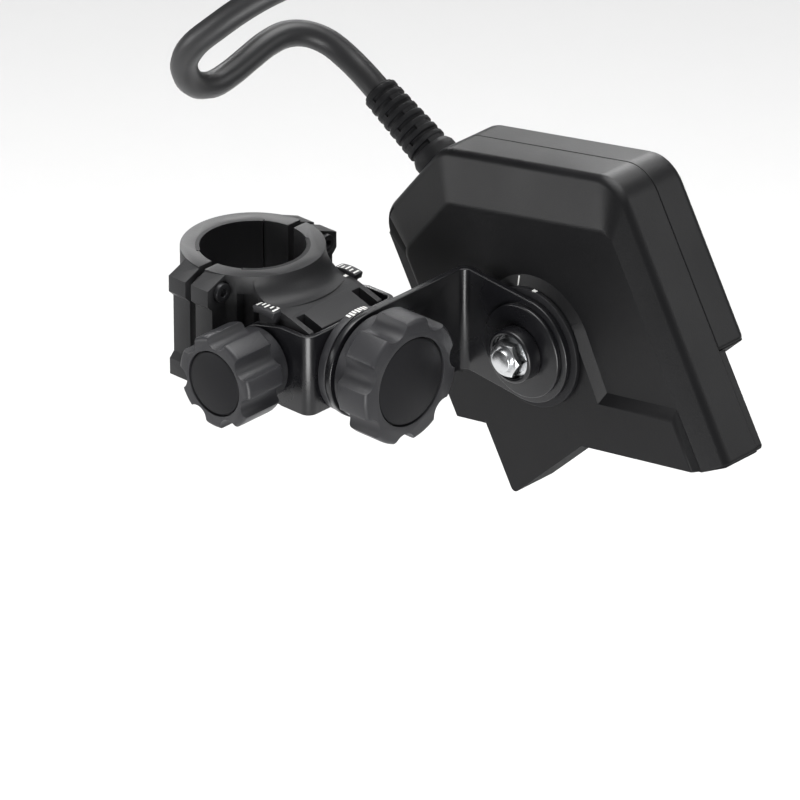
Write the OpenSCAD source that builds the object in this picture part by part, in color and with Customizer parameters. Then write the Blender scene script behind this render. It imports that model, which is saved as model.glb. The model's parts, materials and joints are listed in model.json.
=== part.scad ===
/* [Pole clamp] */
// Diameter of the pole that the clamp grips
pole_d = 38.1; // [34:0.1:40]
// Height of the clamp along the pole
clamp_h = 46; // [42:0.5:56]
// Wall of the clamp ring outside the grip pads
ring_wall = 5.4; // [4.5:0.1:6]
// Thickness of the rubber grip pads
pad_t = 1.5; // [1:0.1:2]
// Angle that each grip pad covers
pad_arc = 116; // [90:1:130]
// Gap between the two clamp halves
split_gap = 2.8; // [1.5:0.1:4]
// Thickness of one bolting ear, across the gap
ear_t = 8.2; // [7:0.1:9]
// Distance from the pole axis to the ears' outer faces
ear_reach = 33; // [30:0.5:34]
// Height of each bolting ear
ear_h = 8; // [7:0.5:10]
// Depth of the wall between the upper and lower ears, behind their faces
ear_recess = 2.2; // [0.5:0.1:3]
// Drop of the ears' sloping tops
ear_slope = 3.6; // [1:0.1:5]
// Diameter of the clamp screws
screw_d = 4; // [3:0.5:4]
// Diameter of the clamp screws' heads
screw_head_d = 7; // [6:0.1:7]
// Height of the clamp screws' heads
screw_head_h = 4; // [3:0.1:4]
// Width of the pivot block, along the tilt axis
block_w = 37.2; // [34:0.1:38]
// Height of the pivot block's top above the middle of the clamp
block_top = 13.8; // [12:0.1:15]
// Width of each slot in the pivot block's sloping nose
slot_w = 4.2; // [3:0.1:6]
// Distance of the slots from the middle of the pivot block
slot_off = 14.2; // [11:0.1:15]

/* [Tilt yoke] */
// Distance from the pole axis to the tilt axis
tilt_x = 27.2; // [26:0.1:29]
// Height of the tilt and roll axes, from the middle of the clamp
axis_z = -5; // [-7:0.1:-4]
// Thickness of the yoke's bent plate
yoke_t = 2; // [1.5:0.1:2.5]
// Height of the yoke
yoke_h = 31; // [28:0.5:34]
// Distance from the tilt axis to the inside of the yoke's web
yoke_reach = 19.8; // [19.4:0.1:23]
// Outside radius of the yoke's bends
yoke_bend = 4; // [3:0.1:6]
// Radius of the yoke legs' round ends
leg_r = 13.3; // [12:0.1:13.5]
// Thickness of the tilt scale plates between the block and the yoke
scale_t = 2.1; // [1.5:0.1:3]
// Radius of the tilt scale's rim
scale_r = 20.3; // [18:0.1:20.6]
// Diameter of the pivot bolts and studs
bolt_d = 8; // [6:0.5:8]
// Distance across the flats of the pivot bolts' heads and nuts
hex_flats = 12; // [11:0.5:13]
// Height of the pivot bolts' heads
hex_h = 5; // [4:0.1:6]
// Diameter of the plain washers
washer_d = 16; // [14:0.5:17]
// Thickness of the plain washers
washer_t = 1.2; // [1:0.1:2]

/* [Knobs] */
// Diameter of the tilt knob
tilt_knob_d = 34.6; // [30:0.1:35]
// Length of the tilt knob
tilt_knob_l = 24; // [20:0.5:30]
// Diameter of the tilt knob's cap
tilt_cap_d = 23.6; // [18:0.1:24]
// Diameter of the roll knob
roll_knob_d = 47; // [40:0.5:48]
// Length of the roll knob
roll_knob_l = 19; // [17:0.5:24]
// Diameter of the roll knob's cap
roll_cap_d = 32.4; // [26:0.5:33]
// Turn of the tilt knob at rest
tilt_knob_a = 23; // [-30:1:30]
// Turn of the roll knob at rest
roll_knob_a = -8; // [-30:1:30]
// Number of grip flutes round a knob
flutes = 7; // [5:1:9]
// Depth of the grip flutes, as cut into the knob's edge
flute_depth = 3.8; // [2:0.1:4]
// Thickness of the knob caps
cap_t = 2; // [1.5:0.1:3]
// Width of the groove round a knob cap
cap_groove = 0.5; // [0.3:0.1:0.8]
// Diameter of the threaded inserts in the knobs
insert_d = 13; // [11:0.5:14]
// Length of the threaded inserts in the knobs
insert_l = 12; // [9:0.5:13]

/* [Roll arm] */
// Thickness of the roll scale disc
roll_disc_t = 5; // [3:0.1:7]
// Radius of the roll scale disc
roll_disc_r = 19.5; // [17:0.1:20.5]
// Thickness of the arm's bent plate
arm_t = 2.5; // [2:0.1:3.5]
// Height of the arm
arm_h = 40; // [36:0.5:44]
// Distance from the pole axis to the arm's face that carries the transducer
arm_reach = 49.4; // [48:0.1:54]
// Distance from the arm's inside corner to the transducer's pivot
arm_l = 29; // [26:0.5:34]
// Inside radius of the arm's bend
arm_bend = 3; // [2:0.1:5]

/* [Transducer pivot] */
// Drop of the transducer's pivot below the roll axis
pivot_drop = 2.7; // [0:0.1:4]
// Radius of the friction disc between the arm and the transducer
friction_r = 22.6; // [20:0.1:23]
// Thickness of the friction disc
friction_t = 2.1; // [1.5:0.1:3]
// Radius of the large washer on the arm
flange_r = 17.6; // [14:0.1:18]
// Thickness of the large washer
flange_t = 2; // [1.5:0.1:3]
// Radius of the hub on the large washer
hub_r = 10; // [9.2:0.1:11]
// Length of the hub
hub_l = 6.2; // [5:0.1:12]
// Depth of the nut's seat in the hub
hub_seat = 3.4; // [2:0.1:4]
// Height of the pivot nut
nut_h = 5.2; // [4:0.1:7]
// Length of the stud past the pivot nut
stud_past = 1.4; // [0.5:0.1:4]

/* [Transducer housing] */
// Height of the sloping top edge above the lower left corner, along the side
side_l = 130; // [125:1:140]
// Depth of the front bevel, from the raised face to the rim
bevel_d = 9.2; // [8:0.1:11]
// Depth of the sunken panel below the raised face
panel_d = 2.4; // [1:0.1:3]
// Width of the sloping step round the raised face
step_w = 4; // [2:0.1:5]
// Depth of the front shell's straight sides
front_side = 15.8; // [14:0.1:20]
// Depth of the rear shell's straight sides
rear_side = 13; // [12:0.1:18]
// Depth of the rear shell's bevel
rear_bevel = 6; // [4:0.1:8]
// Depth by which each array's end passes the parting plane
array_lip = 3; // [1:0.1:6]
// Height of the raised band along the lower edge
band_h = 18; // [14:0.5:22]
// Radius of the raised boss round the pivot
boss_r = 22; // [20:0.5:24]
// Thickness of the walls round the sonar arrays
array_wall = 3; // [2:0.1:4]
// Height of the sonar arrays
array_h = 14; // [10:0.5:16]
// Thickness of the circuit board
board_t = 1.6; // [1:0.1:2]

/* [Cable] */
// Diameter of the cable
cable_d = 10; // [8:0.1:10]
// Length of the strain relief outside the housing
relief_l = 37; // [30:0.5:40]
// Radius of the strain relief's ribs at the housing
relief_r = 8; // [7.5:0.1:9]
// Number of ribs on the strain relief
relief_ribs = 8; // [5:1:10]
// Radius of the cable's plug
plug_r = 10; // [8:0.1:12]
// Length of the cable's plug
plug_l = 46; // [40:1:60]

/* [Hidden] */

$fn = 64;
// Extra length of a cut past the faces that it opens
over = 1;
// Clearance round a turning bolt, and beside turning plates
run = 0.1;
// Clearance beside moving faces
gap = 0.25;
// Clearance round pieces that are dropped into a pocket
fit = 0.2;

// Clamp
bore_r = pole_d / 2;
pocket_r = bore_r + pad_t;
ring_r = pocket_r + ring_wall;
lip_r = bore_r + pad_t / 3;
half_h = clamp_h / 2;
ear_z = half_h - ear_slope / 2 - ear_h / 2;
screw_y = ring_r + screw_d / 6;
counterbore = 2.2;
nut_flats = screw_head_d;
nut_t = screw_d * 0.8;
nose_r = yoke_reach - 1.2;
nose_x = tilt_x + nose_r;
nose_z = block_top - 4.2;
shoulder_x = tilt_x + 4.8;
flare = 8;
relief_x = tilt_x - leg_r - 0.5;
relief_top = axis_z + scale_r + 0.9;

// Yoke
leg_in = block_w / 2 + gap + scale_t;
leg_out = leg_in + yoke_t;
web_in = tilt_x + yoke_reach;
web_out = web_in + yoke_t;
knob_gap = 0.2;
tilt_knob_y = leg_out + washer_t + knob_gap;
scale_from = 76;
scale_to = 106;
rim_w = 2.6;

// Roll arm
arm_x = web_out + roll_disc_t;
arm_face = arm_x + arm_t;
roll_knob_x = arm_face + washer_t + knob_gap;
pivot_x = arm_face + arm_l;
pivot_z = axis_z - pivot_drop;
friction_y = arm_reach + arm_t;

// Transducer housing: depths from the raised face to the back
face_y = friction_y + friction_t;
panel_y = face_y + panel_d;
rim_y = face_y + bevel_d;
part_y = rim_y + front_side;
back_rim_y = part_y + rear_side;
back_y = back_rim_y + rear_bevel;

// Housing outline, seen from the front, with the pivot as its origin
side_a = -60.2;
top_a = 10.3;
near_a = 8.7;
far_a = 43.7;
chamfer_a = 51.4;
low_left = [-45.2, pivot_drop - 45.4];
function along(p, a, l) = p + l * [cos(a), sin(a)];
// Point where the line through p at angle a meets the line through q at angle b
function meet(p, a, q, b) =
  let (d = q - p, k = (d.x * sin(b) - d.y * cos(b)) / (cos(a) * sin(b) - sin(a) * cos(b))) along(p, a, k);
left_top = along(low_left, side_a, -side_l * 0.569);
top_left = along(left_top, chamfer_a, 45.2);
top_right = along(top_left, top_a, 85.8);
low_right = meet(low_left, near_a, top_right, side_a);
far_right = along(top_right, side_a, 70.2);
far_low = meet(far_right, far_a, low_left, side_a);
corner_r = [11, 12, 14, 2, 2];
near_outline = [left_top, top_left, top_right, low_right, low_left];
far_outline = [left_top, top_left, top_right, far_right, far_low];

// Sunken panel and raised face
side_inset = 6.9;
left_inset = 11.8;
top_inset = 17.6;
panel_outline = inset_outline([left_inset, top_inset, top_inset, side_inset, 0]);
band_inset = 9.2;
band_step = 0.3;
band_end = 8.4;
band_left = meet(low_left, near_a, along(low_left, side_a + 90, left_inset + panel_d), side_a);
band_right = meet(low_left, near_a, along(low_right, side_a - 90, band_inset), side_a);
band_top_right = along(band_right, side_a, -band_h / sin(near_a - side_a));
band_top_left = along(band_left, side_a, -band_h / sin(near_a - side_a));
ledge_left = along(band_top_right, near_a, -35);

// Outline moved inwards by a distance for each side: left, chamfer, top, right and lower edge
function inset_outline(d) =
  let (
    left = along(low_left, side_a + 90, d[0]), cham = along(left_top, chamfer_a - 90, d[1]),
    top = along(top_left, top_a - 90, d[2]), right = along(top_right, side_a - 90, d[3]),
    low = along(low_left, near_a + 90, d[4])
  )
  [
    meet(left, side_a, cham, chamfer_a), meet(cham, chamfer_a, top, top_a),
    meet(top, top_a, right, side_a), meet(right, side_a, low, near_a), meet(low, near_a, left, side_a)
  ];

// Corner of an outline replaced by an arc, as a list of points
arc_steps = 8;
function rounded(p, r) = [
  for (i = [0 : len(p) - 1])
    let (
      a = p[(i + len(p) - 1) % len(p)], b = p[i], c = p[(i + 1) % len(p)],
      u = (a - b) / norm(a - b), v = (c - b) / norm(c - b),
      half = acos(u * v) / 2, mid = (u + v) / norm(u + v), centre = b + mid * r[i] / sin(half),
      from = b + u * r[i] / tan(half) - centre, to = b + v * r[i] / tan(half) - centre,
      start = atan2(from.y, from.x), turn = ((atan2(to.y, to.x) - start + 540) % 360) - 180
    )
    for (k = [0 : r[i] > 0 ? arc_steps : 0])
      let (a = start + turn * k / arc_steps) centre + r[i] * [cos(a), sin(a)]
];

// Strain relief, square to the chamfer apart from a slight lean
exit_at = left_top + 0.54 * (top_left - left_top);
exit_a = 149;
relief_root = 6;
tip_r = cable_d / 2 + 1.2;
tip_seat = 1;
collar_r = relief_r + 0.6;
function past_exit(l) =
  let (p = along(exit_at, exit_a, l)) [pivot_x + p.x, part_y, pivot_z + p.y];

// Cable route from the strain relief's tip, round behind the pole, and up to the coil
route = [
  past_exit(relief_l - tip_seat), past_exit(relief_l + 8),
  [-27.6, 78.5, 60.4], [-35, 76.2, 65], [-40.8, 71.2, 68.2], [-44.5, 64, 69.3],
  [-46, 55.5, 67.9], [-46.5, 46.5, 65], [-46.7, 37.5, 62.2], [-46.8, 28.5, 61],
  [-46.5, 19.8, 63.8], [-45.4, 13.4, 70.2], [-42.4, 9.8, 78.4], [-36.4, 9.2, 86.8],
  [-29, 12.5, 94.5], [-22, 17, 101.5],
  [-14.5, 22.5, 108], [-6.5, 28.5, 113.5], [1.5, 35.5, 117.5], [9, 43, 119.5], [15, 52, 120]
];
// Coil of the spare cable: its middle, mean radius, and the turns across and up its section
coil_at = [-45, 90, 115];
coil_r = 57;
coil_turns = 4;
coil_w = coil_turns * cable_d;
tie_t = 1.5;
tie_arc = 14;
tie_from = [30, 200];
cable_sides = 12;

clamp_colour = "#1c1c1e";
plate_colour = "#141416";
knob_colour = "#26262a";
steel_colour = "#c4c6c8";
black_steel_colour = "#18181a";
rubber_colour = "#101010";
shell_colour = "#1a1a1c";
cable_colour = "#242428";
array_colour = "#8a7448";
board_colour = "#1f5c34";
scale_colour = "#2c2c30";
brass_colour = "#b08d4a";

// Cylinder along X from x0 to x1
module along_x(x0, x1, r) { translate([x0, 0, 0]) rotate([0, 90, 0]) cylinder(h = x1 - x0, r = r); }

// Cylinder along Y from y0 to y1
module along_y(y0, y1, r) { translate([0, y1, 0]) rotate([90, 0, 0]) cylinder(h = y1 - y0, r = r); }

// Outline in X and Z, given depth from y0 to y1
module deep(y0, y1) { translate([0, y1, 0]) rotate([90, 0, 0]) linear_extrude(y1 - y0) children(); }

// Outline in Y and Z, given width from x0 to x1
module wide(x0, x1) {
  translate([x0, 0, 0]) rotate([90, 0, 90]) linear_extrude(x1 - x0) children();
}

// Part of a turn round Z, from one angle to another, as a wedge
module wedge(from, to, r, z0, z1) {
  translate([0, 0, z0]) linear_extrude(z1 - z0)
    polygon([[0, 0], for (k = [0 : 6]) along([0, 0], from + (to - from) * k / 6, 2 * r)]);
}

module at_tilt() { translate([tilt_x, 0, axis_z]) children(); }
module at_roll() { translate([0, 0, axis_z]) children(); }
module at_pivot() { translate([pivot_x, 0, pivot_z]) children(); }

module hexagon(flats) { circle(d = flats / cos(30), $fn = 6); }

// Places of the four clamp screws
module at_screws() { for (y = [-screw_y, screw_y], z = [-ear_z, ear_z]) translate([0, y, z]) children(); }

// Side view of the ears on one side: sloping ends, with a recessed wall between them
module ear_profile() {
  inner = pocket_r + 1;
  wall = ear_reach - ear_recess;
  low = ear_z - ear_h / 2;
  high = half_h - ear_slope;
  polygon([
    [inner, -half_h], [ring_r - 2, -half_h], [ear_reach, -high], [ear_reach, -low], [wall, -low + ear_recess],
    [wall, low - ear_recess], [ear_reach, low], [ear_reach, high], [ring_r - 2, half_h], [inner, half_h]
  ]);
}

// Half of the clamp's ring with its ears, on the side that dir points to
module half_ring(dir) {
  x0 = split_gap / 2;
  intersection() {
    translate([0, 0, -half_h]) cylinder(h = clamp_h, r = ring_r);
    translate([dir > 0 ? x0 : -x0 - 2 * ring_r, -2 * ring_r, -half_h])
      cube([2 * ring_r, 4 * ring_r, clamp_h]);
  }
  for (side = [0, 1]) mirror([0, side, 0])
    wide(dir > 0 ? x0 : -x0 - ear_t, dir > 0 ? x0 + ear_t : -x0) ear_profile();
}

// Bore of the clamp: the lip that clears the pole, and the pocket of one grip pad
module half_bore(dir) {
  translate([0, 0, -half_h - over]) cylinder(h = clamp_h + 2 * over, r = lip_r);
  rotate([0, 0, dir > 0 ? 0 : 180]) intersection() {
    translate([0, 0, -half_h - over]) cylinder(h = clamp_h + 2 * over, r = pocket_r);
    wedge(-pad_arc / 2, pad_arc / 2, ring_r, -half_h - over, half_h + over);
  }
}

// Side view of the pivot block: flat top, sloping nose, and a round front about the tilt axis
module block_profile() {
  polygon(rounded([
    [pocket_r, -half_h], [tilt_x, -half_h], [tilt_x + nose_r / 2, axis_z], [nose_x, nose_z],
    [shoulder_x, block_top], [pocket_r, block_top]
  ], [0, 0, 0, 0.8, 18, 0]));
  intersection() {
    translate([tilt_x, axis_z]) circle(r = nose_r);
    translate([tilt_x - over, -half_h]) square([2 * nose_r, nose_z + half_h]);
  }
}

// Concave flare from the ring's outside down to the block's top
module ring_flare() {
  intersection() {
    rotate_extrude() polygon([
      [pocket_r + 1, block_top - over], [ring_r + flare, block_top - over],
      for (k = [0 : 8]) [ring_r + flare * (1 - sin(90 * k / 8)), block_top + flare * (1 - cos(90 * k / 8))],
      [pocket_r + 1, block_top + flare]
    ]);
    translate([ear_t + split_gap / 2, -block_w / 2, -half_h]) cube([2 * ring_r, block_w, clamp_h]);
  }
}

module clamp_front() {
  color(clamp_colour) difference() {
    union() {
      difference() {
        half_ring(1);
        // Room beside the block for the yoke's legs to swing
        for (side = [0, 1]) mirror([0, side, 0])
          translate([relief_x, block_w / 2, -half_h - over])
            cube([ring_r, ring_r, relief_top + half_h + over]);
      }
      deep(-block_w / 2, block_w / 2) block_profile();
      ring_flare();
    }
    half_bore(1);
    at_tilt() along_y(-block_w, block_w, bolt_d / 2 + run);
    for (y = [-slot_off, slot_off])
      translate([shoulder_x + 4.5, y - slot_w / 2, nose_z - 7]) cube([nose_r, slot_w, 2 * flare]);
    at_screws() {
      along_x(0, 2 * ring_r, screw_d / 2 + fit);
      along_x(split_gap / 2 + ear_t - counterbore, 2 * ring_r, screw_head_d / 2 + fit);
    }
  }
}

module clamp_rear() {
  color(clamp_colour) difference() {
    half_ring(-1);
    half_bore(-1);
    at_screws() {
      along_x(-2 * ring_r, 0, screw_d / 2 + fit);
      translate([-split_gap / 2 - ear_t - over, 0, 0]) rotate([0, 90, 0])
        linear_extrude(nut_t + over) hexagon(nut_flats + 2 * fit);
    }
  }
}

// Rubber pad that lines one half of the clamp
module grip_pad(dir) {
  color(rubber_colour) rotate([0, 0, dir > 0 ? 0 : 180]) intersection() {
    difference() {
      translate([0, 0, -half_h]) cylinder(h = clamp_h, r = pocket_r);
      translate([0, 0, -half_h - over]) cylinder(h = clamp_h + 2 * over, r = bore_r);
    }
    wedge(-pad_arc / 2 + 1, pad_arc / 2 - 1, ring_r, -half_h, half_h);
  }
}
module grip_pad_front() { grip_pad(1); }
module grip_pad_rear() { grip_pad(-1); }

module clamp_screws() {
  head_x = split_gap / 2 + ear_t - counterbore;
  color(black_steel_colour) at_screws() {
    along_x(-split_gap / 2 - ear_t, head_x, screw_d / 2);
    difference() {
      along_x(head_x, head_x + screw_head_h, screw_head_d / 2);
      translate([head_x + screw_head_h / 2, 0, 0]) rotate([0, 90, 0])
        linear_extrude(screw_head_h) hexagon(screw_d * 0.75);
    }
  }
}

module clamp_nuts() {
  color(black_steel_colour) at_screws() difference() {
    translate([-split_gap / 2 - ear_t, 0, 0]) rotate([0, 90, 0]) linear_extrude(nut_t) hexagon(nut_flats);
    along_x(-2 * ring_r, 0, screw_d / 2);
  }
}

// Side view of a yoke leg: a round end about the tilt axis, widening to the yoke's full height
module leg_profile() {
  top = yoke_h / 2;
  end = yoke_reach + yoke_t - yoke_bend;
  polygon([
    [end, -top], [end, top], [leg_r * 0.6, top],
    for (k = [0 : 24]) leg_r * [cos(100 + 160 * k / 24), sin(100 + 160 * k / 24)],
    [leg_r * 0.6, -top]
  ]);
}

// Upright bend between two plates at right angles, of a thickness, with its outside radius
module plate_bend(r, t, h) {
  difference() {
    intersection() {
      cylinder(h = h, r = r);
      cube([r, r, h]);
    }
    translate([0, 0, -over]) cylinder(h = h + 2 * over, r = r - t);
  }
}

module yoke() {
  low = axis_z - yoke_h / 2;
  color(plate_colour) difference() {
    union() {
      for (side = [0, 1]) mirror([0, side, 0]) {
        at_tilt() deep(leg_in, leg_out) leg_profile();
        translate([web_out - yoke_bend, leg_out - yoke_bend, low]) plate_bend(yoke_bend, yoke_t, yoke_h);
      }
      translate([web_in, -leg_out + yoke_bend, low]) cube([yoke_t, 2 * (leg_out - yoke_bend), yoke_h]);
    }
    at_tilt() along_y(-2 * leg_out, 2 * leg_out, bolt_d / 2);
    at_roll() along_x(web_in - over, web_out + over, bolt_d / 2);
  }
}

// Plate between the block and a yoke leg, with a raised rim that carries the tilt scale
module tilt_scale() {
  color(scale_colour) at_tilt() difference() {
    union() {
      along_y(block_w / 2 + gap, leg_in, leg_r);
      difference() {
        intersection() {
          deep(block_w / 2 + gap, leg_out)
            polygon([
              [0, 0],
              for (k = [0 : 6]) along([0, 0], scale_from + (scale_to - scale_from) * k / 6, 2 * scale_r)
            ]);
          along_y(block_w / 2 + gap, leg_out, scale_r);
        }
        along_y(leg_in, leg_out + over, scale_r - rim_w);
      }
    }
    along_y(0, leg_out + over, bolt_d / 2);
  }
}
module tilt_scale_right() { tilt_scale(); }
module tilt_scale_left() { mirror([0, 1, 0]) tilt_scale(); }

module tilt_bolt() {
  end = tilt_knob_y + insert_l;
  color(steel_colour) at_tilt() {
    along_y(-end, leg_out, bolt_d / 2);
    translate([0, leg_out + hex_h, 0]) rotate([90, 0, 0]) linear_extrude(hex_h) hexagon(hex_flats);
  }
}

// Plain washer along X, from x = 0
module plain_washer() {
  color(steel_colour) difference() {
    along_x(0, washer_t, washer_d / 2);
    along_x(-over, washer_t + over, bolt_d / 2 + run);
  }
}
module tilt_washer() { at_tilt() translate([0, -leg_out, 0]) rotate([0, 0, -90]) plain_washer(); }
module roll_washer() { at_roll() translate([arm_face, 0, 0]) plain_washer(); }

// Lobed knob along X from x = 0: a collar, a fluted grip with soft edges, and a seat for its cap
module knob(d, l, cap_d) {
  r = d / 2;
  soft = 1.6;
  collar_r = r - flute_depth - 0.4;
  grip_x = l * 0.24;
  flute_r = r * 0.25;
  color(knob_colour) difference() {
    rotate([90, 0, 90]) rotate_extrude() polygon([
      [0, 0], [collar_r, 0], [collar_r, grip_x], [r - soft, grip_x],
      for (k = [0 : 4]) [r - soft * (1 - sin(90 * k / 4)), grip_x + soft * (1 - cos(90 * k / 4))],
      for (k = [0 : 4]) [r - soft * (1 - cos(90 * k / 4)), l - soft * (1 - sin(90 * k / 4))],
      [0, l]
    ]);
    for (k = [0 : flutes - 1]) rotate([360 * (k + 0.5) / flutes, 0, 0])
      translate([0, 0, r + flute_r - flute_depth]) along_x(grip_x - over, l + over, flute_r);
    along_x(l - cap_t, l + over, cap_d / 2 + cap_groove);
    along_x(-over, l - cap_t - 1.5, bolt_d / 2 + run);
    along_x(-over, insert_l, insert_d / 2);
  }
}

// Cap of a knob, slightly crowned
module knob_cap(l, cap_d) {
  crown = 0.5;
  color(knob_colour) translate([l - cap_t, 0, 0]) rotate([90, 0, 90]) rotate_extrude()
    polygon([[0, 0], [cap_d / 2, 0], [cap_d / 2, cap_t - crown], [cap_d / 2 - 2 * crown, cap_t], [0, cap_t]]);
}

module knob_insert() {
  color(brass_colour) difference() {
    along_x(0, insert_l, insert_d / 2);
    along_x(-over, insert_l + over, bolt_d / 2 + run);
  }
}

module at_tilt_knob() {
  at_tilt() translate([0, -tilt_knob_y, 0]) rotate([0, 0, -90]) rotate([tilt_knob_a, 0, 0]) children();
}
module at_roll_knob() { at_roll() translate([roll_knob_x, 0, 0]) rotate([roll_knob_a, 0, 0]) children(); }

module tilt_knob() { at_tilt_knob() knob(tilt_knob_d, tilt_knob_l, tilt_cap_d); }
module tilt_knob_cap() { at_tilt_knob() knob_cap(tilt_knob_l, tilt_cap_d); }
module tilt_knob_insert() { at_tilt_knob() knob_insert(); }
module roll_knob() { at_roll_knob() knob(roll_knob_d, roll_knob_l, roll_cap_d); }
module roll_knob_cap() { at_roll_knob() knob_cap(roll_knob_l, roll_cap_d); }
module roll_knob_insert() { at_roll_knob() knob_insert(); }

module roll_stud() { color(steel_colour) at_roll() along_x(web_in, roll_knob_x + insert_l, bolt_d / 2); }

// Disc between the yoke and the arm, with a groove below the rim that carries the roll scale
module roll_scale() {
  color(scale_colour) at_roll() difference() {
    union() {
      along_x(web_out, arm_x - gap, roll_disc_r - 1);
      along_x(web_out + 1, arm_x - gap - 0.6, roll_disc_r);
    }
    along_x(web_out - over, arm_x + over, bolt_d / 2);
  }
}

// Bent plate from the roll disc out to the transducer
module arm() {
  r = arm_h / 2;
  low = axis_z - r;
  outer = arm_bend + arm_t;
  color(plate_colour) difference() {
    union() {
      at_roll() wide(arm_x, arm_face) {
        circle(r = r);
        translate([0, -r]) square([arm_reach - arm_bend, arm_h]);
      }
      at_pivot() deep(arm_reach, friction_y) hull() {
        circle(r = r);
        translate([-arm_l + arm_bend, pivot_drop - r]) square([thin, arm_h]);
      }
      translate([arm_face + arm_bend, arm_reach - arm_bend, low]) mirror([1, 0, 0])
        plate_bend(outer, arm_t, arm_h);
    }
    at_roll() along_x(arm_x - over, arm_face + over, bolt_d / 2 + run);
    at_pivot() along_y(arm_reach - over, friction_y + over, bolt_d / 2 + run);
  }
}

// Ring round the transducer's pivot, from y0 to y1
module pivot_ring(y0, y1, r) {
  at_pivot() difference() {
    along_y(y0, y1, r);
    along_y(y0 - over, y1 + over, bolt_d / 2 + run);
  }
}

module friction_disc() { color(rubber_colour) pivot_ring(friction_y, face_y - run, friction_r); }
module pivot_flange() { color(plate_colour) pivot_ring(arm_reach - flange_t, arm_reach, flange_r); }

hub_back = arm_reach - flange_t;
hub_face = hub_back - hub_l;
seat_y = hub_face + hub_seat;
nut_back = seat_y - washer_t;
nut_face = nut_back - nut_h;

module pivot_hub() {
  color(plate_colour) difference() {
    pivot_ring(hub_face, hub_back, hub_r);
    at_pivot() along_y(hub_face - over, seat_y, washer_d / 2 + fit);
  }
}

module pivot_washer() { color(steel_colour) pivot_ring(nut_back, seat_y, washer_d / 2); }

module pivot_nut() {
  color(steel_colour) at_pivot() difference() {
    intersection() {
      translate([0, nut_back, 0]) rotate([90, 0, 0]) linear_extrude(nut_h) hexagon(hex_flats);
      // Chamfer on the nut's outer corners
      translate([0, nut_back, 0]) rotate([90, 0, 0]) rotate_extrude()
        polygon([
          [0, 0], [hex_flats, 0], [hex_flats / 2 + nut_h / 2, nut_h / 2], [hex_flats / 2, nut_h], [0, nut_h]
        ]);
    }
    along_y(nut_face - over, nut_back + over, bolt_d / 2);
  }
}

// Stud with its head held inside the front shell
stud_head_y = face_y + panel_d + array_wall;
module pivot_stud() {
  color(steel_colour) at_pivot() {
    along_y(nut_face - stud_past, stud_head_y, bolt_d / 2);
    translate([0, stud_head_y + hex_h, 0]) rotate([90, 0, 0]) linear_extrude(hex_h) hexagon(hex_flats);
  }
}

// Band along the housing's lower edge, just inside it, with its top edge moved up by grow
module band_shape(grow, left, right) {
  low = along(low_left, near_a + 90, band_step);
  up = along([0, 0], near_a + 90, grow + band_h);
  l = meet(low, near_a, along(low_left, side_a + 90, left), side_a);
  r = meet(low, near_a, along(low_right, side_a - 90, right), side_a);
  polygon([
    l, r, meet(l + up, near_a, r, side_a), meet(l + up, near_a, l, side_a)
  ]);
}

// Boss round the pivot, and the web between it and the band, moved outwards by grow
module boss_shape(y0, y1, grow) {
  across = along([0, 0], near_a, grow);
  up = along([0, 0], near_a + 90, grow);
  low = along([0, 0], near_a + 90, 4) + along([0, 0], near_a, 5);
  deep(y0, y1) polygon([
    band_left + low, along(ledge_left, near_a - 90, band_h / 2), ledge_left + across, band_top_left + low
  ]);
  along_y(y0, y1, boss_r + grow, $fn = 48);
}

module near_shape() { polygon(rounded(near_outline, corner_r)); }
module far_shape() { polygon(rounded(far_outline, corner_r)); }

// Half plane on the lower side of the line through p at angle a
module below(p, a) {
  reach = 3 * side_l;
  left = along(p, a, -reach);
  right = along(p, a, reach);
  polygon([left, right, along(right, a - 90, reach), along(left, a - 90, reach)]);
}

// Box in the housing beside the lower edge through p at angle a, as used by the sonar arrays
module array_box(p, a, from, to, y0, y1, grow) {
  at_pivot() deep(y0, y1) polygon([
    for (c = [[from - grow, array_wall - grow], [to + grow, array_wall - grow],
              [to + grow, array_wall + array_h + grow], [from - grow, array_wall + array_h + grow]])
      along(along(p, a, c.x), a + 90, c.y)
  ]);
}

thin = 0.1;
array_end = 14;
near_l = norm(low_right - low_left);
far_l = norm(far_right - far_low);
array_near_y = rim_y;
array_far_y = back_rim_y;

module near_array_box(grow) {
  past = grow > 0 ? over : 0;
  array_box(low_left, near_a, array_end, near_l - array_end, array_near_y - grow, part_y + past, grow);
}
module far_array_box(grow) {
  past = grow > 0 ? over : 0;
  array_box(far_low, far_a, array_end + 10, far_l - array_end, part_y - past, array_far_y + grow, grow);
}

board_l = 62;
board_w = 26;
board_at = [-18, pivot_drop + 26];
module board_box(grow) {
  at_pivot() deep(part_y - (grow > 0 ? over : 0), part_y + board_t + grow)
    translate(board_at) rotate(top_a)
      square([board_l + 2 * grow, board_w + 2 * grow], center = true);
}

// Round hole for the strain relief's root, on the parting plane
module at_exit() {
  at_pivot() translate([exit_at.x, part_y, exit_at.y]) rotate([0, 90 - exit_a, 0]) children();
}

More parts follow.
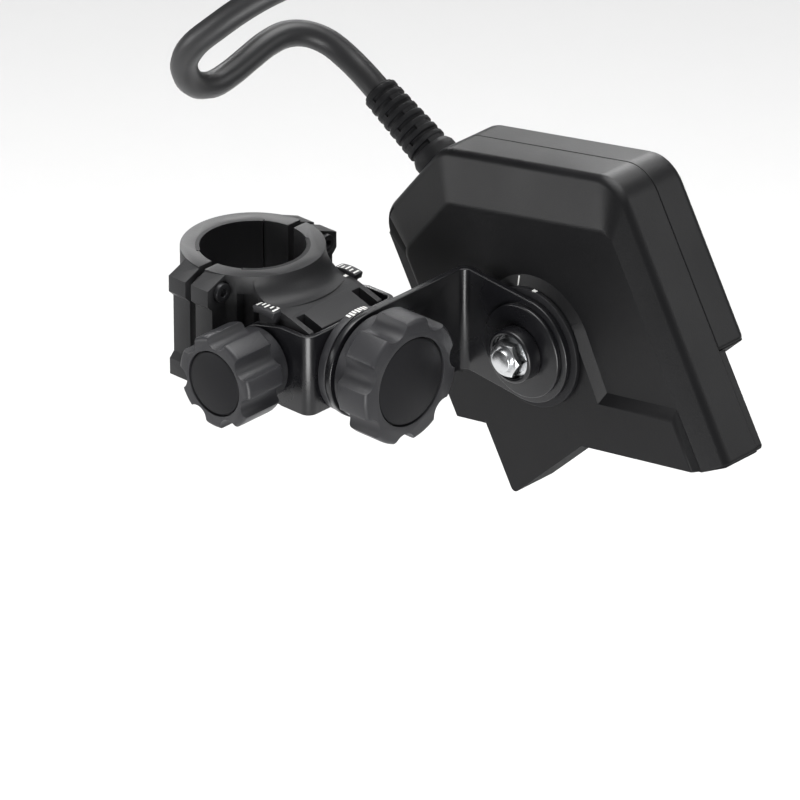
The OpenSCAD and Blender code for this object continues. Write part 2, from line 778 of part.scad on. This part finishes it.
module front_shell() {
  color(shell_colour) difference() {
    at_pivot() {
      // Straight sides, and the bevel from the rim up to the sunken panel
      hull() {
        deep(rim_y, part_y) near_shape();
        deep(panel_y, rim_y) polygon(rounded(panel_outline, [6, 6, 6, 0, 0]));
      }
      // End of the near array, below the rear shell's edge
      deep(part_y - over, part_y + array_lip) intersection() {
        polygon(rounded(inset_outline([band_step, band_step, band_step, band_step, band_step]), corner_r));
        below(along(far_low, far_a - 90, gap), far_a);
      }
      // Raised band with its sloping ledge
      hull() {
        deep(face_y, face_y + thin) band_shape(0, band_end, band_inset);
        deep(panel_y + over, panel_y + over + thin)
          band_shape(step_w * (panel_d + over) / panel_d, band_end - band_step, side_inset - 0.4);
        deep(rim_y, rim_y + thin) band_shape(-band_h / 2, band_step, side_inset);
      }
      // Raised boss and the web down to the band
      hull() {
        boss_shape(face_y, face_y + thin, 0);
        boss_shape(panel_y, panel_y + over, step_w);
      }
    }
    at_pivot() along_y(0, stud_head_y + over, bolt_d / 2);
    at_pivot() translate([0, stud_head_y + hex_h, 0]) rotate([90, 0, 0])
      linear_extrude(hex_h) hexagon(hex_flats);
    near_array_box(fit);
    at_exit() relief_cut();
  }
}

module rear_shell() {
  color(shell_colour) difference() {
    at_pivot() {
      deep(part_y, back_rim_y) far_shape();
      // End of the far array, below the front shell's edge
      deep(part_y - 2 * array_lip, part_y) intersection() {
        far_shape();
        below(along(low_left, near_a - 90, gap), near_a);
      }
      // Bevel from the back rim to the back face
      hull() {
        deep(back_rim_y - thin, back_rim_y) far_shape();
        deep(back_y - thin, back_y)
          polygon(rounded([for (p = far_outline) p * 0.86 + [1, 0]], corner_r * 0.8));
      }
    }
    far_array_box(fit);
    board_box(fit);
    at_exit() relief_cut();
  }
}

module near_array() { color(array_colour) near_array_box(0); }
module far_array() { color(array_colour) far_array_box(0); }
module circuit_board() { color(board_colour) board_box(0); }

// Hole for the strain relief's root, and the spot face that its collar sits on
module relief_cut() {
  translate([0, 0, -relief_root - fit]) cylinder(h = relief_root + 3 * relief_r, r = tip_r + fit);
  cylinder(h = 3 * relief_r, r = collar_r + fit);
}

// Ribbed strain relief round the cable, tapering away from the housing
module strain_relief() {
  collar_l = 7;
  pitch = (relief_l - collar_l - tip_seat) / relief_ribs;
  function core(z) = tip_r + 0.4 - 0.6 * z / relief_l;
  function rib(z) = relief_r - 1.4 * z / relief_l;
  color(rubber_colour) at_exit() difference() {
    rotate_extrude() polygon([
      [0, -relief_root], [tip_r, -relief_root], [tip_r, 0], [collar_r, 0], [collar_r, collar_l - 2],
      [relief_r - 0.4, collar_l],
      for (k = [0 : relief_ribs - 1])
        let (z = collar_l + k * pitch)
        each [[core(z), z], [core(z), z + pitch * 0.42], [rib(z), z + pitch * 0.46], [rib(z), z + pitch]],
      [core(relief_l), relief_l - tip_seat], [core(relief_l), relief_l], [0, relief_l]
    ]);
    translate([0, 0, relief_l - tip_seat]) cylinder(h = 2 * tip_seat, r = cable_d / 2);
  }
}

// Direction of the route at a point, and the ring of points round it
function route_dir(i) =
  let (a = route[max(0, i - 1)], b = route[min(len(route) - 1, i + 1)]) (b - a) / norm(b - a);
function route_ring(i) =
  let (d = route_dir(i), s = cross(d, [0.7, -0.6, 0.4]), u = s / norm(s), v = cross(d, u))
  [for (k = [0 : cable_sides - 1])
    let (a = 360 * k / cable_sides) route[i] + cable_d / 2 * (cos(a) * u + sin(a) * v)];

module cable() {
  n = len(route);
  m = cable_sides;
  color(cable_colour) polyhedron(
    points = [for (i = [0 : n - 1]) each route_ring(i)],
    faces = [
      [for (k = [0 : m - 1]) k],
      for (i = [0 : n - 2], k = [0 : m - 1])
        [i * m + k, (i + 1) * m + k, (i + 1) * m + (k + 1) % m, i * m + (k + 1) % m],
      [for (k = [m - 1 : -1 : 0]) (n - 1) * m + k]
    ]
  );
}

// Section of the coil, with its corners rounded off, and grown outwards
module coil_section(grow, soft) {
  w = coil_w / 2 + grow;
  translate([coil_r, coil_w / 2]) polygon([
    for (c = [[1, 1, 0], [-1, 1, 90], [-1, -1, 180], [1, -1, 270]], k = [0 : 4])
      [c.x * (w - soft), c.y * (w - soft)] + soft * [cos(c.z + 90 * k / 4), sin(c.z + 90 * k / 4)]
  ]);
}

// Spare cable, wound into a flat coil
module cable_coil() { color(cable_colour) translate(coil_at) rotate_extrude() coil_section(0, cable_d / 2); }

// Straps round the coil's section
module coil_ties() {
  color(rubber_colour) translate(coil_at) for (a = tie_from) rotate([0, 0, a])
    rotate_extrude(angle = tie_arc) difference() {
      coil_section(tie_t, cable_d / 2 + tie_t);
      coil_section(0, cable_d / 2);
    }
}

// Round plug on the cable's end, lying on the coil: bend sleeve, body, and coupling ring with contact face
module cable_plug() {
  sleeve = plug_l * 0.35;
  ring_l = plug_l * 0.4;
  mouth = plug_r * 0.72;
  place = coil_at + [plug_l / 2, coil_r, coil_w + plug_r];
  color(rubber_colour) translate(place) rotate([0, -90, 0]) difference() {
    rotate_extrude() polygon([
      [0, 0], [cable_d / 2 + 1, 0], [plug_r * 0.8, sleeve], [plug_r * 0.9, sleeve],
      [plug_r * 0.9, plug_l - ring_l],
      [plug_r, plug_l - ring_l], [plug_r, plug_l], [0, plug_l]
    ]);
    translate([0, 0, plug_l - 3]) cylinder(h = plug_l, r = mouth);
  }
}

clamp_front();
clamp_rear();
grip_pad_front();
grip_pad_rear();
clamp_screws();
clamp_nuts();
yoke();
tilt_scale_left();
tilt_scale_right();
tilt_bolt();
tilt_washer();
tilt_knob();
tilt_knob_cap();
tilt_knob_insert();
roll_stud();
roll_scale();
roll_washer();
arm();
roll_knob();
roll_knob_cap();
roll_knob_insert();
friction_disc();
pivot_flange();
pivot_hub();
pivot_washer();
pivot_nut();
pivot_stud();
front_shell();
rear_shell();
near_array();
far_array();
circuit_board();
strain_relief();
cable();
cable_coil();
coil_ties();
cable_plug();
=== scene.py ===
import bpy
import bmesh
import json
import math
from mathutils import Matrix, Vector


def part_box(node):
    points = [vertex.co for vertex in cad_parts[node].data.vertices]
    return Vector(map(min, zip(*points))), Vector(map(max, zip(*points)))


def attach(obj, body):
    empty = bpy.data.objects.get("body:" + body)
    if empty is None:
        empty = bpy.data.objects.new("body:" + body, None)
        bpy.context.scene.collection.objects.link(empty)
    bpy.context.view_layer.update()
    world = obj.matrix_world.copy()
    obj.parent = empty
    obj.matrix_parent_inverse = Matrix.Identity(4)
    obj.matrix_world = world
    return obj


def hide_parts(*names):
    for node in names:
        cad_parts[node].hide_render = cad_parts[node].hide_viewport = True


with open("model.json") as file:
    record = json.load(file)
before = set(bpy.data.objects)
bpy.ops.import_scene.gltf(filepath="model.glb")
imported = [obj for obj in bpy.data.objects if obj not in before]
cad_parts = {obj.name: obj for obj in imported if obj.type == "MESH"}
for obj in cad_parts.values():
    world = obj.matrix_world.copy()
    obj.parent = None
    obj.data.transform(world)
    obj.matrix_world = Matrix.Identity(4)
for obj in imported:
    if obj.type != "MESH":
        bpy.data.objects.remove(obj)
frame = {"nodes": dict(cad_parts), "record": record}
scene = bpy.context.scene
nodes = frame["nodes"]
behaviour = frame["record"]["behaviour"]
slot_of = {s["node"]: s["material_slot"] for s in frame["record"]["subparts"]}
body_of = {n: b for b, group in behaviour["bodies"].items() for n in group}
joint_at = {j["name"]: Vector(j["pos_m"]) for j in behaviour["joints"]}


# Camera: a long lens, set from the clamp, the arm and the housing in the photograph
RIGHT = Vector((0.7314, 0.6820, 0.0))
UP = Vector((-0.3128, 0.3355, 0.8886))
TOWARDS = Vector((0.6060, -0.6500, 0.4587))
AIM = 0.0523 * RIGHT - 0.0348 * UP
FIELD = 0.2847
DISTANCE = 3.0
SENSOR = 36.0

lens = bpy.data.cameras.new("camera")
lens.sensor_fit = "HORIZONTAL"
lens.sensor_width = SENSOR
lens.lens = SENSOR * DISTANCE / FIELD
lens.clip_end = 20.0
camera = bpy.data.objects.new("camera", lens)
scene.collection.objects.link(camera)
axes = Matrix((RIGHT.normalized(), UP.normalized(), TOWARDS.normalized())).transposed()
camera.matrix_world = Matrix.Translation(AIM + DISTANCE * TOWARDS) @ axes.to_4x4()
scene.camera = camera


# Materials: a broad noise varies colour and roughness, and a fine one gives the grain
BROAD_SCALE = 38.0
ROUGH_SPREAD = 0.06
GRAIN_DEPTH = 0.0004
MIX_FROM = 6
MIX_TO = 7
MIX_RESULT = 2


def material(name, colour, rough, metal=0.0, grain=900.0, bump=0.05, vary=0.12, spec=0.5):
    mat = bpy.data.materials.new(name)
    mat.use_nodes = True
    tree = mat.node_tree
    shader = tree.nodes["Principled BSDF"]
    coords = tree.nodes.new("ShaderNodeTexCoord")
    fine = tree.nodes.new("ShaderNodeTexNoise")
    fine.inputs["Scale"].default_value = grain
    fine.inputs["Detail"].default_value = 4.0
    broad = tree.nodes.new("ShaderNodeTexNoise")
    broad.inputs["Scale"].default_value = BROAD_SCALE
    broad.inputs["Detail"].default_value = 5.0
    tint = tree.nodes.new("ShaderNodeMix")
    tint.data_type = "RGBA"
    dark = [c * (1.0 - vary) for c in colour]
    light = [min(1.0, c * (1.0 + vary)) for c in colour]
    tint.inputs[MIX_FROM].default_value = (*dark, 1.0)
    tint.inputs[MIX_TO].default_value = (*light, 1.0)
    rough_map = tree.nodes.new("ShaderNodeMapRange")
    rough_map.inputs["To Min"].default_value = max(0.02, rough - ROUGH_SPREAD)
    rough_map.inputs["To Max"].default_value = min(1.0, rough + ROUGH_SPREAD)
    relief = tree.nodes.new("ShaderNodeBump")
    relief.inputs["Strength"].default_value = bump
    relief.inputs["Distance"].default_value = GRAIN_DEPTH
    link = tree.links.new
    link(coords.outputs["Object"], fine.inputs["Vector"])
    link(coords.outputs["Object"], broad.inputs["Vector"])
    link(broad.outputs["Fac"], tint.inputs[0])
    link(broad.outputs["Fac"], rough_map.inputs["Value"])
    link(fine.outputs["Fac"], relief.inputs["Height"])
    link(tint.outputs[MIX_RESULT], shader.inputs["Base Color"])
    link(rough_map.outputs["Result"], shader.inputs["Roughness"])
    link(relief.outputs["Normal"], shader.inputs["Normal"])
    shader.inputs["Metallic"].default_value = metal
    shader.inputs["Specular IOR Level"].default_value = spec
    return mat


# Each finish has its colour, its roughness and what differs from a plain satin plastic
FINISHES = {
    "clamp_plastic": ((0.017, 0.017, 0.018), 0.44, {"grain": 1500.0, "bump": 0.12, "spec": 0.24}),
    "black_rubber": ((0.006, 0.006, 0.007), 0.58, {"grain": 1200.0, "bump": 0.14, "spec": 0.22}),
    "steel": ((0.66, 0.67, 0.68), 0.22, {"metal": 1.0, "grain": 2400.0, "bump": 0.03, "vary": 0.08}),
    "black_steel": ((0.020, 0.020, 0.022), 0.40, {"metal": 0.6, "grain": 2000.0}),
    "black_plate": ((0.005, 0.005, 0.006), 0.28, {"grain": 1800.0, "spec": 0.45}),
    "scale_plastic": ((0.016, 0.016, 0.018), 0.46, {"grain": 1500.0, "bump": 0.08, "spec": 0.4}),
    "knob_plastic": ((0.017, 0.017, 0.019), 0.44, {"grain": 1700.0, "bump": 0.16, "spec": 0.36}),
    "cap_plastic": ((0.011, 0.011, 0.012), 0.46, {"grain": 1700.0, "bump": 0.10, "spec": 0.08}),
    "brass": ((0.70, 0.52, 0.24), 0.28, {"metal": 1.0, "bump": 0.03}),
    "housing_plastic": ((0.0045, 0.0045, 0.005), 0.40, {"grain": 1600.0, "bump": 0.10, "spec": 0.19}),
    # The next finish is painted shade: a copy of housing_plastic with almost no reflection, laid on
    # the housing's faces turned down or to -X
    "housing_shaded_under": ((0.008, 0.008, 0.0085), 0.6, {"grain": 1600.0, "bump": 0.10, "spec": 0.02}),
    "array": ((0.50, 0.42, 0.28), 0.6, {"bump": 0.08}),
    "board": ((0.04, 0.22, 0.10), 0.4, {}),
    "cable_jacket": ((0.018, 0.018, 0.019), 0.42, {"grain": 1300.0, "bump": 0.10, "spec": 0.42}),
    "plug_plastic": ((0.015, 0.015, 0.017), 0.45, {"bump": 0.10}),
    "mark_white": ((0.66, 0.66, 0.64), 0.6, {"grain": 2600.0, "bump": 0.04, "vary": 0.05}),
}
MATERIALS = {
    name: material(name, colour, rough, **more)
    for name, (colour, rough, more) in FINISHES.items()
}


def dress(obj, slot):
    obj.data.materials.clear()
    obj.data.materials.append(MATERIALS[slot])


for name, obj in nodes.items():
    dress(obj, slot_of[name])


# Cable: the route in metres, then the turns of the coil, then the end that goes into the plug
CABLE_D = 0.010
ROUTE = [
    (-0.01209, 0.079, 0.05141), (-0.01981, 0.079, 0.05604), (-0.0276, 0.0785, 0.0604),
    (-0.035, 0.0762, 0.065), (-0.0408, 0.0712, 0.0682), (-0.0445, 0.064, 0.0693),
    (-0.046, 0.0555, 0.0679), (-0.0465, 0.0465, 0.065), (-0.0467, 0.0375, 0.0622),
    (-0.0468, 0.0285, 0.061), (-0.0465, 0.0198, 0.0638), (-0.0454, 0.0134, 0.0702),
    (-0.0424, 0.0098, 0.0784), (-0.0364, 0.0092, 0.0868), (-0.029, 0.0125, 0.0945),
    (-0.022, 0.017, 0.1015), (-0.0145, 0.0225, 0.108), (-0.0065, 0.0285, 0.1135),
    (0.0015, 0.0355, 0.1175), (0.009, 0.043, 0.1195), (0.015, 0.052, 0.12),
]
ROUTE_STEPS = 4

# The coil: each layer's turns run inwards and outwards by turns, one cable's width apart
COIL = Vector((-0.045, 0.090, 0.115))
COIL_R = 0.072
LAYERS = 4
LAYER_TURNS = 4
TURN_POINTS = 36
SHIFT_SHARE = 0.28
ENTRY_INSET = 0.001
ENTRY_POINTS = 6

# The end: degrees round the coil, radius and height over its foot, then the way into the plug
LIFT = (
    (12, 0.0720, 0.0362), (24, 0.0718, 0.0395), (36, 0.0712, 0.0432),
    (48, 0.0702, 0.0464), (60, 0.0688, 0.0486), (72, 0.0672, 0.0498),
)
PLUG = Vector((-0.022, 0.147, 0.165))
PLUG_LEAD = ((0.0168, -0.0042, 0.0), (0.0085, -0.0009, 0.0), (0.0, 0.0, 0.0))
END_STEPS = 3


def smooth(points, steps):
    """A curve through all the points, with some steps from each to the next."""
    pts = [Vector(p) for p in points]
    out = []
    for i in range(len(pts) - 1):
        a = pts[max(0, i - 1)]
        b = pts[i]
        c = pts[i + 1]
        d = pts[min(len(pts) - 1, i + 2)]
        for k in range(steps):
            t = k / steps
            line = 2 * b + (c - a) * t
            bend = (2 * a - 5 * b + 4 * c - d) * t * t
            twist = (3 * b - a - 3 * c + d) * t ** 3
            out.append(0.5 * (line + bend + twist))
    out.append(pts[-1])
    return out


def ease(t):
    t = min(1.0, max(0.0, t))
    return t * t * (3 - 2 * t)


def on_coil(angle, radius, height):
    return COIL + Vector((radius * math.cos(angle), radius * math.sin(angle), height))


def coil_points(start):
    turns = []
    for layer in range(LAYERS):
        radii = [COIL_R - CABLE_D * k for k in range(LAYER_TURNS)]
        if layer % 2:
            radii.reverse()
        turns += [(r, CABLE_D * (layer + 0.5)) for r in radii]
    out = []
    for i in range(1, len(turns) * TURN_POINTS):
        turn, part = divmod(i, TURN_POINTS)
        r, z = turns[turn]
        if turn + 1 < len(turns):
            next_r, next_z = turns[turn + 1]
            t = ease((part / TURN_POINTS - (1 - SHIFT_SHARE)) / SHIFT_SHARE)
            r += (next_r - r) * t
            z += (next_z - z) * t
        if turn == 0:
            r -= ENTRY_INSET * (1 - ease(part / ENTRY_POINTS))
        out.append(on_coil(start + 2 * math.pi * i / TURN_POINTS, r, z))
    return out


begin = math.atan2(ROUTE[-1][1] - COIL.y, ROUTE[-1][0] - COIL.x)
turns = coil_points(begin)
end = [turns[-1]]
end += [on_coil(begin + math.radians(degrees), r, z) for degrees, r, z in LIFT]
end += [PLUG + Vector(step) for step in PLUG_LEAD]
line = smooth(ROUTE, ROUTE_STEPS) + turns + smooth(end, END_STEPS)[1:]

curve = bpy.data.curves.new("cable_line", "CURVE")
curve.dimensions = "3D"
curve.bevel_depth = CABLE_D / 2
curve.bevel_resolution = 4
curve.use_fill_caps = True
spline = curve.splines.new("POLY")
spline.points.add(len(line) - 1)
for point, p in zip(spline.points, line):
    point.co = (*p, 1.0)
spline.use_smooth = True
cable = bpy.data.objects.new("cable_line", curve)
scene.collection.objects.link(cable)
cable.data.materials.append(MATERIALS["cable_jacket"])
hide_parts("cable", "cable_coil")
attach(cable, "transducer")


# Soft edges: a copy of a node with its edges rounded, the shells' by a share for each edge
SAME_POINT = 1e-6
FLAT_ANGLE = math.radians(0.2)
SHADE_ANGLE = math.radians(30.0)
NORMAL_WEIGHT = 60


def soften(node, width, share=None, sharp=28.0, segments=3):
    mesh = nodes[node].data.copy()
    bm = bmesh.new()
    bm.from_mesh(mesh)
    bmesh.ops.remove_doubles(bm, verts=bm.verts, dist=SAME_POINT)
    bmesh.ops.dissolve_limit(bm, angle_limit=FLAT_ANGLE, verts=bm.verts, edges=bm.edges)
    weight = bm.edges.layers.float.new("bevel_weight_edge")
    for edge in bm.edges:
        if edge.calc_face_angle(0.0) > math.radians(sharp):
            edge[weight] = share(edge) if share else 1.0
            edge.smooth = edge[weight] > 0.0
    for face in bm.faces:
        face.smooth = True
    bm.to_mesh(mesh)
    bm.free()
    obj = bpy.data.objects.new(node + "_soft", mesh)
    scene.collection.objects.link(obj)
    bevel = obj.modifiers.new("edges", "BEVEL")
    bevel.width = width
    bevel.segments = segments
    bevel.limit_method = "WEIGHT"
    bevel.use_clamp_overlap = share is None
    if share:
        flat = obj.modifiers.new("flats", "WEIGHTED_NORMAL")
        flat.mode = "FACE_AREA"
        flat.weight = NORMAL_WEIGHT
        flat.keep_sharp = True
    deps = bpy.context.evaluated_depsgraph_get()
    done = bpy.data.meshes.new_from_object(obj.evaluated_get(deps))
    obj.modifiers.clear()
    obj.data = done
    if not share:
        obj.data.set_sharp_from_angle(angle=SHADE_ANGLE)
    dress(obj, slot_of[node])
    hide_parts(node)
    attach(obj, body_of[node])
    return obj


# The housing's planes along y: its face, the recessed panel, the rim and the parting line
PANEL_D = 0.0024
RIM_D = 0.0092
PART_D = 0.025
FACE_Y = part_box("front_shell")[0].y
PANEL_Y = FACE_Y + PANEL_D
RIM_Y = FACE_Y + RIM_D
PART_Y = FACE_Y + PART_D
ON_PLANE = 0.0006


def spoke(degrees):
    """A unit vector in the tilt plane, turned from +X towards +Z."""
    a = math.radians(degrees)
    return Vector((math.cos(a), 0, math.sin(a)))


# The strain relief's axis, from its seat on the housing's cut corner
EXIT = Vector((0.01877, 0.079, 0.03286))
EXIT_DEGREES = 149
axis = spoke(EXIT_DEGREES)
FRONT_SEAT_R = 0.0140
REAR_SEAT_R = 0.0165

# The shells' rounds: full at the rim and the back, and a share of that at the finer edges
FRONT_ROUND = 0.0026
REAR_ROUND = 0.0018
FACE_SHARE = 0.24
PANEL_SHARE = 0.32
FRONT_PART_SHARE = 0.16
REAR_PART_SHARE = 0.24
LEDGE_FROM_X = 0.100
LEDGE_TO_X = 0.125
PANEL_END_X = 0.118
PART_END_X = 0.165
UNDERSIDE_Z = -0.35


def middle(edge):
    return (edge.verts[0].co + edge.verts[1].co) / 2


def plain(edge, seat):
    """Undersides, inner corners and the relief's seat keep their edges."""
    off = middle(edge) - EXIT
    if (off - axis * off.dot(axis)).length < seat or not edge.is_convex:
        return True
    return min(face.normal.z for face in edge.link_faces) < UNDERSIDE_Z


def front_share(edge):
    p = middle(edge)
    if plain(edge, FRONT_SEAT_R):
        return 0.0
    if abs(p.y - RIM_Y) < ON_PLANE:
        return 1.0
    if abs(p.y - FACE_Y) < ON_PLANE:
        return 0.0 if LEDGE_FROM_X < p.x < LEDGE_TO_X else FACE_SHARE
    if abs(p.y - PANEL_Y) < ON_PLANE and p.x < PANEL_END_X:
        return PANEL_SHARE
    if p.y > PART_Y - ON_PLANE and p.x < PART_END_X:
        return FRONT_PART_SHARE
    return 0.0


def rear_share(edge):
    if plain(edge, REAR_SEAT_R):
        return 0.0
    return REAR_PART_SHARE if middle(edge).y < PART_Y + ON_PLANE else 1.0


# Painted shade: the housing's faces turned down and its side turned to -X get a copy of its plastic
# with almost no reflection, chosen by facing direction so that the pale floor shows no reflection in
# them
SHADED_DOWN = -0.2
SHADED_SIDE = -0.35
SHADED_SIDE_UP = 0.3


def shade_by_facing(obj):
    obj.data.materials.append(MATERIALS["housing_shaded_under"])
    for poly in obj.data.polygons:
        n = poly.normal
        if n.z < SHADED_DOWN or (n.x < SHADED_SIDE and n.z < SHADED_SIDE_UP):
            poly.material_index = 1


shade_by_facing(soften("front_shell", FRONT_ROUND, front_share, sharp=10.0, segments=4))
shade_by_facing(soften("rear_shell", REAR_ROUND, rear_share, sharp=12.0))

# The width of the round on the edges of each other piece
ROUNDS = {
    "clamp_front": 0.0006,
    "clamp_rear": 0.0006,
    "tilt_knob": 0.0006,
    "roll_knob": 0.0007,
    "tilt_knob_cap": 0.0003,
    "roll_knob_cap": 0.0003,
    "yoke": 0.0004,
    "arm": 0.0004,
    "tilt_scale_left": 0.0003,
    "tilt_scale_right": 0.0003,
    "roll_scale": 0.0003,
    "friction_disc": 0.0004,
    "pivot_flange": 0.0006,
    "pivot_hub": 0.0008,
    "pivot_nut": 0.0003,
    "pivot_washer": 0.0002,
    "pivot_stud": 0.0005,
    "tilt_bolt": 0.0003,
    "clamp_screws": 0.0003,
    "strain_relief": 0.0003,
}
for name, width in ROUNDS.items():
    soften(name, width)


def piece(name, bm, body, skin):
    bmesh.ops.recalc_face_normals(bm, faces=bm.faces)
    mesh = bpy.data.meshes.new(name)
    bm.to_mesh(mesh)
    bm.free()
    obj = bpy.data.objects.new(name, mesh)
    scene.collection.objects.link(obj)
    obj.data.materials.append(MATERIALS[skin])
    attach(obj, body)


def block(bm, low, high):
    """A closed solid between two outlines with as many points."""
    a = [bm.verts.new(p) for p in low]
    b = [bm.verts.new(p) for p in high]
    bm.faces.new(list(reversed(a)))
    bm.faces.new(b)
    for k in range(len(a)):
        j = (k + 1) % len(a)
        bm.faces.new((a[k], a[j], b[j], b[k]))


# Printed white marks, as thin pads on their surfaces
MARK_HALF_T = 0.00006


def pads(name, items, body):
    bm = bmesh.new()
    for centre, along, across, size in items:
        a = Vector(along).normalized() * size[0] / 2
        b = Vector(across).normalized() * size[1] / 2
        off = Vector(along).cross(Vector(across)).normalized() * MARK_HALF_T
        ring = [centre + a + b, centre - a + b, centre - a - b, centre + a - b]
        block(bm, [p - off for p in ring], [p + off for p in ring])
    piece(name, bm, body, "mark_white")


# Tilt scales: marks on each plate's rim, and an index dot beside them on the clamp's block
TILT = joint_at["yoke_tilt"]
TILT_R = 0.0203
TILT_MARKS = 5
TILT_FROM = 80
TILT_STEP = 5.5
TILT_LONG = 0.0028
TILT_SHORT = 0.0019
TILT_MARK_W = 0.0007
TILT_MARGIN = 0.0005
DOT_X = TILT.x + 0.0014
DOT_Y = 0.0176
DOT_Z = 0.01386
DOT_W = 0.0015

for side, sign in (("left", -1), ("right", 1)):
    lo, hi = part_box("tilt_scale_" + side)
    inner = lo.y if sign > 0 else hi.y
    marks = []
    for k in range(TILT_MARKS):
        out = spoke(TILT_FROM + TILT_STEP * k)
        long = TILT_LONG if k % 2 == 0 else TILT_SHORT
        y = inner + sign * (TILT_MARGIN + long / 2)
        centre = TILT + TILT_R * out + Vector((0, y, 0))
        marks.append((centre, (0, 1, 0), (-out.z, 0, out.x), (long, TILT_MARK_W)))
    pads("tilt_scale_marks_" + side, marks, "yoke")
    dot = Vector((DOT_X, sign * DOT_Y, DOT_Z))
    pads("tilt_index_" + side, [(dot, (1, 0, 0), (0, 1, 0), (DOT_W, DOT_W))], "clamp")


# Roll scale: marks across the disc's rim, about its top
ROLL_R = 0.0195
ROLL_MARKS = 7
ROLL_MIDDLE = 92
ROLL_STEP = 4.2
ROLL_LONG = 0.0026
ROLL_SHORT = 0.0020
ROLL_MARK_W = 0.00085
ROLL_MARGIN = 0.0012

lo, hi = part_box("roll_scale")
marks = []
for k in range(ROLL_MARKS):
    a = math.radians(ROLL_MIDDLE + (k - ROLL_MARKS // 2) * ROLL_STEP)
    out = Vector((0, math.cos(a), math.sin(a)))
    long = ROLL_LONG if k % 2 else ROLL_SHORT
    centre = Vector((lo.x + ROLL_MARGIN + long / 2, 0, TILT.z)) + ROLL_R * out
    marks.append((centre, (1, 0, 0), (0, -out.z, out.y), (long, ROLL_MARK_W)))
pads("roll_scale_marks", marks, "yoke")


# Transducer's pivot: a mark on the friction disc's rim, and an index on the slope of the ledge
HEAD_MARK_DEGREES = 86
HEAD_MARK = (0.0014, 0.0017)
HEAD_INDEX_DEGREES = 110
HEAD_INDEX = (0.0036, 0.0006)
BOSS_R = 0.022
LEDGE_W = 0.0040

lo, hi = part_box("pivot_flange")
pivot = (lo + hi) / 2
lo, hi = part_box("friction_disc")
out = spoke(HEAD_MARK_DEGREES)
centre = Vector((pivot.x, (lo.y + hi.y) / 2, pivot.z)) + (hi.x - pivot.x) * out
pads("head_scale_mark", [(centre, (0, 1, 0), (-out.z, 0, out.x), HEAD_MARK)], "arm")
out = spoke(HEAD_INDEX_DEGREES)
slope = LEDGE_W * out + Vector((0, PANEL_D, 0))
centre = Vector((pivot.x, FACE_Y, pivot.z)) + BOSS_R * out + 0.5 * slope
pads("head_index", [(centre, slope, (-out.z, 0, out.x), HEAD_INDEX)], "transducer")


# Bars between the strain relief's ribs, turned a quarter from one gap to the next
RELIEF_L = 0.037
RELIEF_FOOT = 0.007
RELIEF_TIP = 0.001
RELIEF_RIBS = 8
BAR_SHARE = 0.46
BAR_SINK = 0.0001
BAR_INNER_R = 0.0058
BAR_OUTER_R = 0.0079
BAR_TAPER = 0.0014
BAR_FROM = 81
BAR_ARC = (-21, -10, 0, 10, 21)

side = Vector((0, 1, 0))
over = axis.cross(side)
pitch = (RELIEF_L - RELIEF_FOOT - RELIEF_TIP) / RELIEF_RIBS
bars = bmesh.new()
for k in range(RELIEF_RIBS):
    z0 = RELIEF_FOOT + k * pitch - BAR_SINK
    z1 = z0 + BAR_SHARE * pitch + BAR_SINK
    outer = BAR_OUTER_R - BAR_TAPER * z0 / RELIEF_L
    for half in range(2):
        mid = BAR_FROM + 90 * (k % 2) + 180 * half
        arc = [math.radians(mid + d) for d in BAR_ARC]
        ring = [(BAR_INNER_R, t) for t in arc] + [(outer, t) for t in reversed(arc)]
        flat = [r * (math.cos(t) * side + math.sin(t) * over) for r, t in ring]
        block(bars, [EXIT + z0 * axis + q for q in flat], [EXIT + z1 * axis + q for q in flat])
piece("strain_relief_bars", bars, "transducer", "black_rubber")


# Floor: far enough below the part that the lamps draw no lines on it
FLOOR_Z = -0.58
FLOOR_HALF = 6.0
corners = [(-1, -1), (1, -1), (1, 1), (-1, 1)]
ground = bpy.data.meshes.new("floor")
ground.from_pydata([(FLOOR_HALF * x, FLOOR_HALF * y, FLOOR_Z) for x, y in corners], [], [(0, 1, 2, 3)])
floor = bpy.data.objects.new("floor", ground)
scene.collection.objects.link(floor)
pale = material("floor_pale", (0.56, 0.56, 0.56), 0.9, grain=40.0, bump=0.0, vary=0.01)
floor.data.materials.append(pale)


# Light: a wide overhead sun, and area lamps with place, aim, size in metres and power in watts
SUN_STRENGTH = 2.0
SUN_ANGLE = math.radians(70)
SKY_STRENGTH = 0.25
LAMPS = {
    "key": ((-0.15, 0.35, 1.35), (0.03, 0.05, 0.0), (1.3, 1.3), 30.0),
    "back": ((-0.75, 0.85, 0.62), (0.05, 0.03, 0.0), (1.0, 0.4), 13.5),
    "side": ((1.1, 0.85, 0.55), (0.06, 0.04, 0.0), (0.7, 0.7), 5.2),
    "front": ((0.45, -0.48, -0.14), (0.05, 0.0, 0.0), (0.40, 0.36), 4.8),
    "left": ((-1.55, -1.60, 0.31), (0.05, 0.04, 0.0), (1.26, 0.9), 21.0),
}

sun = bpy.data.lights.new("overhead", "SUN")
sun.energy = SUN_STRENGTH
sun.angle = SUN_ANGLE
scene.collection.objects.link(bpy.data.objects.new("overhead", sun))

for name, (place, aim, size, power) in LAMPS.items():
    lamp = bpy.data.lights.new(name, "AREA")
    lamp.shape = "RECTANGLE"
    lamp.size = size[0]
    lamp.size_y = size[1]
    lamp.energy = power
    obj = bpy.data.objects.new(name, lamp)
    scene.collection.objects.link(obj)
    turn = (Vector(aim) - Vector(place)).to_track_quat("-Z", "Y").to_matrix().to_4x4()
    obj.matrix_world = Matrix.Translation(Vector(place)) @ turn

world = bpy.data.worlds.new("world")
world.use_nodes = True
sky = world.node_tree.nodes["Background"]
sky.inputs["Color"].default_value = (1.0, 1.0, 1.0, 1.0)
sky.inputs["Strength"].default_value = SKY_STRENGTH
scene.world = world
scene.view_settings.view_transform = "Standard"
